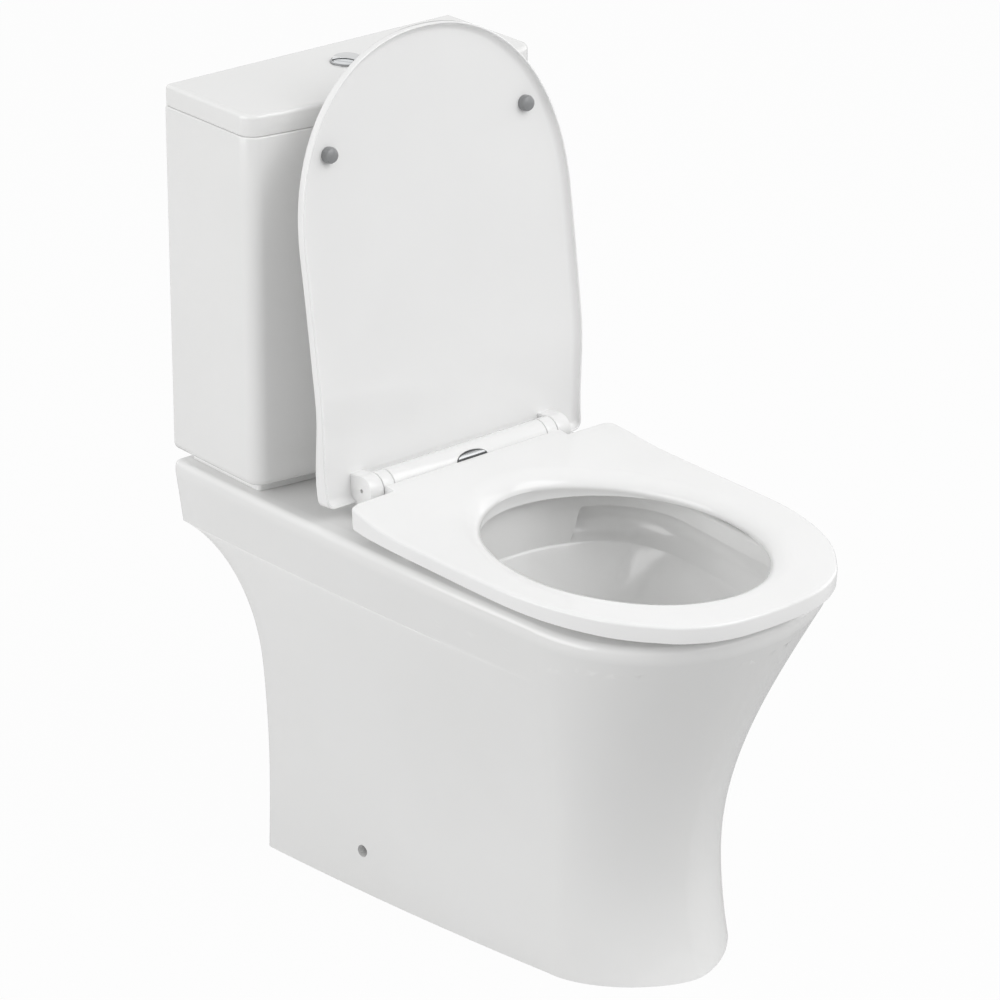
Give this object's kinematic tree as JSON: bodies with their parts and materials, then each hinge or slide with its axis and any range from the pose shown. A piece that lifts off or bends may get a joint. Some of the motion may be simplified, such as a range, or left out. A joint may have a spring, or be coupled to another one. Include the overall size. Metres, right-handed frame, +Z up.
{
  "type": "two-piece toilet",
  "caption": "Close-coupled white ceramic toilet with a skirted pan, a cistern with a dual-flush button, and a slim hinged seat with its cover open.",
  "frame": {"origin": "on the floor, in the middle of the toilet's bounding box", "axes": "+Z up, +Y towards the wall behind the cistern, -Y the front, +X to the right of someone who faces the toilet"},
  "size_m": [0.379, 0.723, 0.9004],
  "materials": {
    "white_ceramic": "high gloss white glaze",
    "seat_plastic": "smooth gloss white",
    "chrome_trim": "polished",
    "valve_plastic": "moulded satin white",
    "blue_plastic": "moulded satin blue",
    "grey_rubber": "soft satin grey",
    "black_rubber": "matte black",
    "plated_steel": "zinc plated",
    "brass": "turned"
  },
  "bodies": {
    "toilet": {"pan": "white_ceramic", "cistern": "white_ceramic", "cistern_lid": "white_ceramic", "button_bezel": "chrome_trim", "bezel_nut": "valve_plastic", "valve_washer": "black_rubber", "flush_valve_base": "valve_plastic", "flush_valve_cage": "valve_plastic", "flush_valve_head": "blue_plastic", "flush_valve_nut": "valve_plastic", "doughnut_gasket": "black_rubber", "coupling_bolt_left": "brass", "bolt_seal_left": "black_rubber", "coupling_washer_left": "plated_steel", "wing_nut_left": "brass", "hinge_pin_left": "plated_steel", "hinge_damper_left": "valve_plastic", "hinge_post_left": "plated_steel", "seat_washer_left": "black_rubber", "seat_nut_left": "valve_plastic", "coupling_bolt_right": "brass", "bolt_seal_right": "black_rubber", "coupling_washer_right": "plated_steel", "wing_nut_right": "brass", "hinge_pin_right": "plated_steel", "hinge_damper_right": "valve_plastic", "hinge_post_right": "plated_steel", "seat_washer_right": "black_rubber", "seat_nut_right": "valve_plastic", "fill_valve_body": "valve_plastic", "fill_valve_cap": "blue_plastic", "fill_valve_washer": "black_rubber", "fill_valve_nut": "valve_plastic", "hinge_bar": "seat_plastic"},
    "seat": {"seat_ring": "seat_plastic", "seat_bumper_rear_left": "seat_plastic", "seat_bumper_rear_right": "seat_plastic", "seat_bumper_front_left": "seat_plastic", "seat_bumper_front_right": "seat_plastic"},
    "lid": {"seat_lid": "seat_plastic", "lid_bumper_left": "grey_rubber", "lid_bumper_right": "grey_rubber"},
    "full_button": {"full_flush_button": "chrome_trim", "full_flush_rod": "blue_plastic"},
    "half_button": {"half_flush_button": "chrome_trim", "half_flush_rod": "blue_plastic"},
    "flush_tube": {"flush_tube": "valve_plastic", "flush_seal": "grey_rubber"},
    "float": {"fill_valve_float": "valve_plastic"},
    "release_tab": {"release_button": "chrome_trim"}
  },
  "joints": [
    {"name": "seat_hinge", "type": "hinge", "parent": "toilet", "child": "seat", "pos_m": [0, 0.1125, 0.45], "axis": [-1, 0, 0], "range_deg": [0, 97]},
    {"name": "lid_hinge", "type": "hinge", "parent": "toilet", "child": "lid", "pos_m": [0, 0.1125, 0.45], "axis": [-1, 0, 0], "range_deg": [-97.6, 0]},
    {"name": "full_button_press", "type": "slide", "parent": "toilet", "child": "full_button", "axis": [0, 0, -1], "range_m": [0, 0.005], "stiffness_N_per_m": 800, "springref_m": -0.003},
    {"name": "half_button_press", "type": "slide", "parent": "toilet", "child": "half_button", "axis": [0, 0, -1], "range_m": [0, 0.005], "stiffness_N_per_m": 800, "springref_m": -0.003},
    {"name": "flush_lift", "type": "slide", "parent": "toilet", "child": "flush_tube", "axis": [0, 0, 1], "range_m": [0, 0.012]},
    {"name": "float_rise", "type": "slide", "parent": "toilet", "child": "float", "axis": [0, 0, 1], "range_m": [0, 0.03]},
    {"name": "release_press", "type": "slide", "parent": "toilet", "child": "release_tab", "axis": [0, 0.8141, -0.5807], "range_m": [0, 0.0014], "stiffness_N_per_m": 600, "springref_m": -0.002}
  ],
  "couplings": [
    {"joint": "flush_lift", "follows": "full_button_press", "ratio": 2.4}
  ]
}
